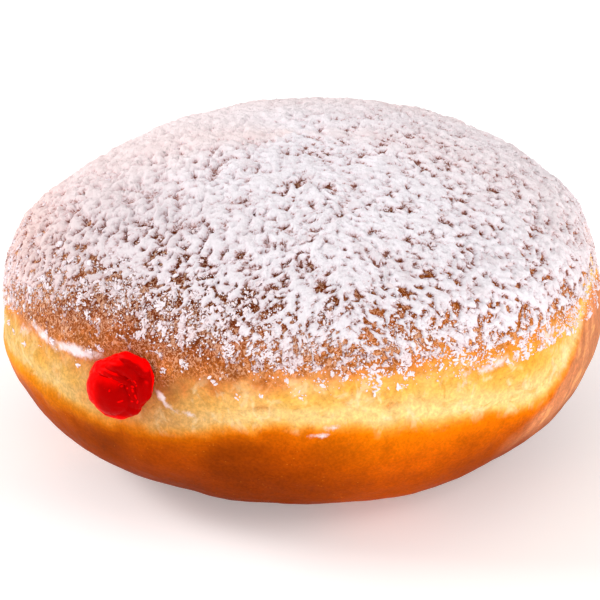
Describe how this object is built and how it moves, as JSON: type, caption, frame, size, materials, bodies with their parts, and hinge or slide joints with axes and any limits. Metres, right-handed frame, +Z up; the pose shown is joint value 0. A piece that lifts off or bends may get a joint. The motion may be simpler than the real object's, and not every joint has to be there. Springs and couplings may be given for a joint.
{
  "type": "jelly filled doughnut",
  "caption": "Round filled bun with a flat base, a pale band round its side and a curl of red jelly standing out of the filling hole.",
  "frame": {"origin": "middle of the flat base on which the doughnut rests, at z = 0", "axes": "+Z up through the crown, -Z out of the flat base, -Y out of the side that has the filling hole, +X to the right as that side is looked at"},
  "size_m": [0.0884, 0.091, 0.0478],
  "materials": {
    "dough": "matte",
    "jelly": "gloss"
  },
  "bodies": {
    "root": {"dough": "dough", "jelly": "jelly"}
  },
  "joints": []
}
